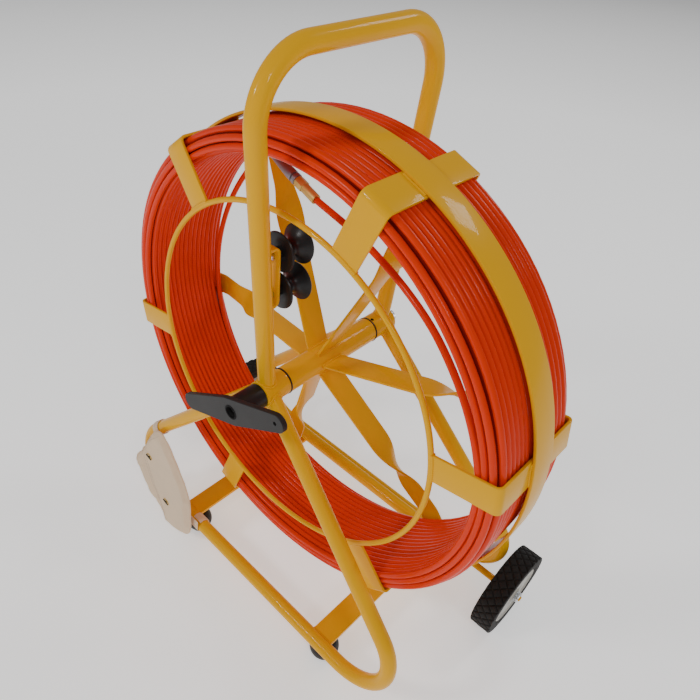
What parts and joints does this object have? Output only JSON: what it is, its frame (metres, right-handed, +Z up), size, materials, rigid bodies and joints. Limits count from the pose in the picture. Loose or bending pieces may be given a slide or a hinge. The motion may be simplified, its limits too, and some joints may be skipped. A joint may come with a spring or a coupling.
{
  "type": "duct rodder reel",
  "caption": "Wheeled duct rodder: orange fibreglass rod coiled in a yellow cage reel on a tubular stand with push bar, guide rollers, brake lever and canvas pouch.",
  "frame": {"origin": "centre of the object's footprint, on the floor", "axes": "+Z up, +Y towards the wheels along the reel axle, X along the base rails"},
  "size_m": [0.9566, 0.546, 1.199],
  "materials": {
    "yellow_paint": "gloss powder coat",
    "black_plastic": "satin moulded",
    "foot_rubber": "matt",
    "tyre_rubber": "matt",
    "wheel_grey": "satin grey paint",
    "zinc_steel": "bright zinc plate",
    "shaft_steel": "turned",
    "brass": "machined",
    "rod_glass": "extruded sheath over glass fibre",
    "canvas": "woven"
  },
  "bodies": {
    "stand": {"axle_nut_left": "zinc_steel", "axle_nut_right": "zinc_steel", "axle_sleeve": "yellow_paint", "canvas_pouch": "canvas", "cross_bar_left": "yellow_paint", "cross_bar_right": "yellow_paint", "foot_left": "foot_rubber", "foot_right": "foot_rubber", "foot_stud_left": "zinc_steel", "foot_stud_right": "zinc_steel", "handle_loop": "yellow_paint", "hub_collar_far": "yellow_paint", "hub_collar_near": "yellow_paint", "hub_washer_far": "black_plastic", "hub_washer_near": "black_plastic", "pouch_button_lower": "brass", "pouch_button_upper": "brass", "pouch_loop_lower": "canvas", "pouch_loop_upper": "canvas", "reel_shaft": "shaft_steel", "roller_bolt_lower": "zinc_steel", "roller_bolt_upper": "zinc_steel", "roller_bracket": "yellow_paint", "roller_nut_lower": "zinc_steel", "roller_nut_upper": "zinc_steel", "shaft_nut": "zinc_steel", "side_frame_far": "yellow_paint", "side_frame_near": "yellow_paint", "wheel_axle": "yellow_paint", "wheel_washer_left": "zinc_steel", "wheel_washer_right": "zinc_steel"},
    "brake_handle": {"brake_barrel": "black_plastic", "brake_lever": "black_plastic"},
    "reel": {"cage_bar_1": "yellow_paint", "cage_bar_2": "yellow_paint", "cage_bar_3": "yellow_paint", "cage_bar_4": "yellow_paint", "cage_bar_5": "yellow_paint", "cage_bar_6": "yellow_paint", "hub_bushing_far": "brass", "hub_bushing_near": "brass", "hub_tube": "yellow_paint", "near_ring": "yellow_paint", "outer_hoop": "yellow_paint", "rod_core": "rod_glass", "rod_ferrule": "brass", "rod_tip": "zinc_steel", "rod_winding": "rod_glass"},
    "roller_lower": {"guide_roller_lower": "black_plastic"},
    "roller_upper": {"guide_roller_upper": "black_plastic"},
    "wheel_left": {"wheel_rim_left": "wheel_grey", "wheel_tyre_left": "tyre_rubber"},
    "wheel_right": {"wheel_rim_right": "wheel_grey", "wheel_tyre_right": "tyre_rubber"}
  },
  "joints": [
    {"name": "reel_spin", "type": "hinge", "parent": "stand", "child": "reel", "pos_m": [0, -0.05214, 0.62708], "axis": [0, 1, 0], "continuous": true},
    {"name": "brake_turn", "type": "hinge", "parent": "stand", "child": "brake_handle", "pos_m": [0, -0.22214, 0.62708], "axis": [0, 1, 0], "range_deg": [-90, 90]},
    {"name": "wheel_left_spin", "type": "hinge", "parent": "stand", "child": "wheel_left", "pos_m": [-0.44237, 0.16805, 0.105], "axis": [1, 0, 0], "continuous": true},
    {"name": "wheel_right_spin", "type": "hinge", "parent": "stand", "child": "wheel_right", "pos_m": [0.44237, 0.16805, 0.105], "axis": [1, 0, 0], "continuous": true},
    {"name": "roller_upper_spin", "type": "hinge", "parent": "stand", "child": "roller_upper", "pos_m": [-0.009, -0.12414, 0.89358], "axis": [0, 1, 0], "continuous": true},
    {"name": "roller_lower_spin", "type": "hinge", "parent": "stand", "child": "roller_lower", "pos_m": [-0.009, -0.12414, 0.82498], "axis": [0, 1, 0], "continuous": true}
  ]
}
